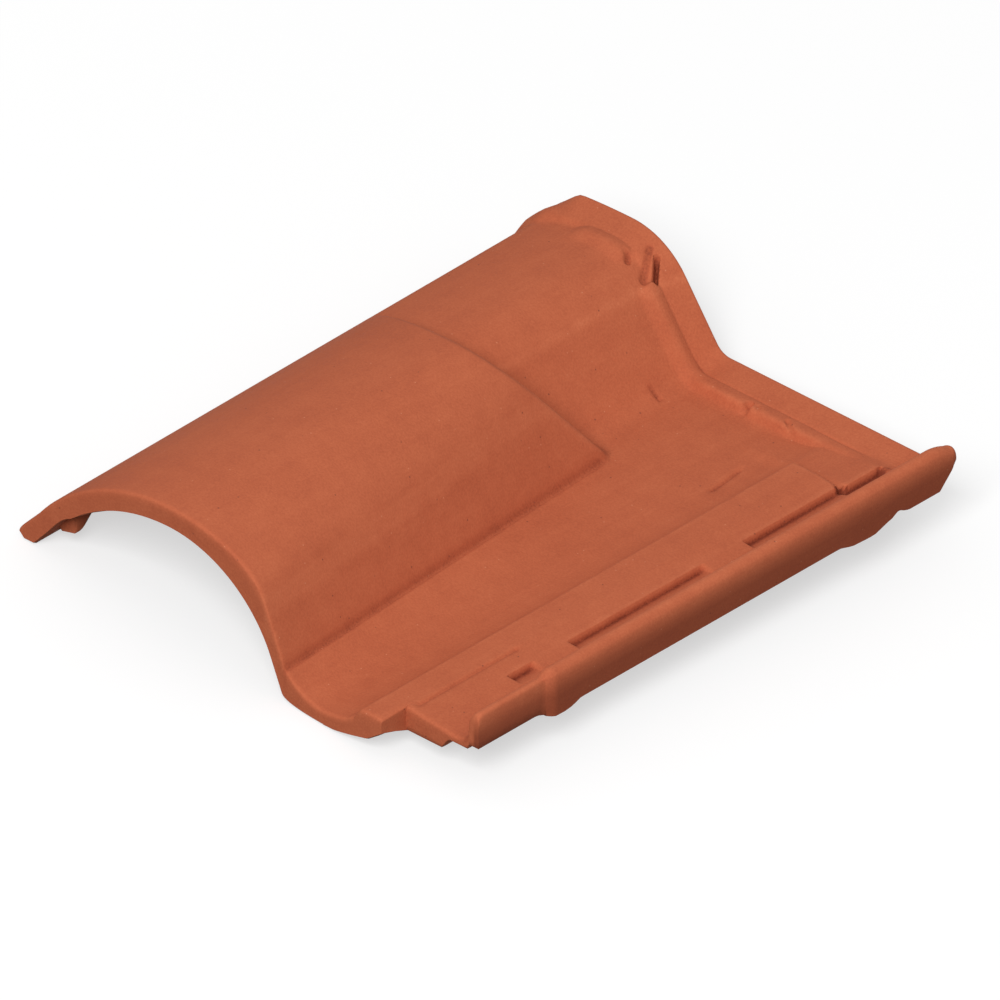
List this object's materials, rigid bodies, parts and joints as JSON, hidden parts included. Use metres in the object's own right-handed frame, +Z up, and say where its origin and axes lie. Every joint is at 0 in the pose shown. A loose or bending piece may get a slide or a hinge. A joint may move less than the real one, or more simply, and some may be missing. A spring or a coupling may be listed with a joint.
{
  "type": "clay roof tile",
  "caption": "Interlocking clay roof tile with a wide roll on the left, a flat pan, a grooved side lock with an upstand and a ribbed head lock.",
  "frame": {"origin": "centre of the bounding box on the floor, with the tile lying as it comes to rest on its lip, its tail and its head", "axes": "+Y from the tail to the head, up the roof; +X from the roll's lip to the side lock; +Z up"},
  "size_m": [0.3422, 0.4222, 0.0881],
  "materials": {
    "clay": "matt unglazed fired clay"
  },
  "bodies": {
    "root": {"roof_tile": "clay"}
  },
  "joints": []
}
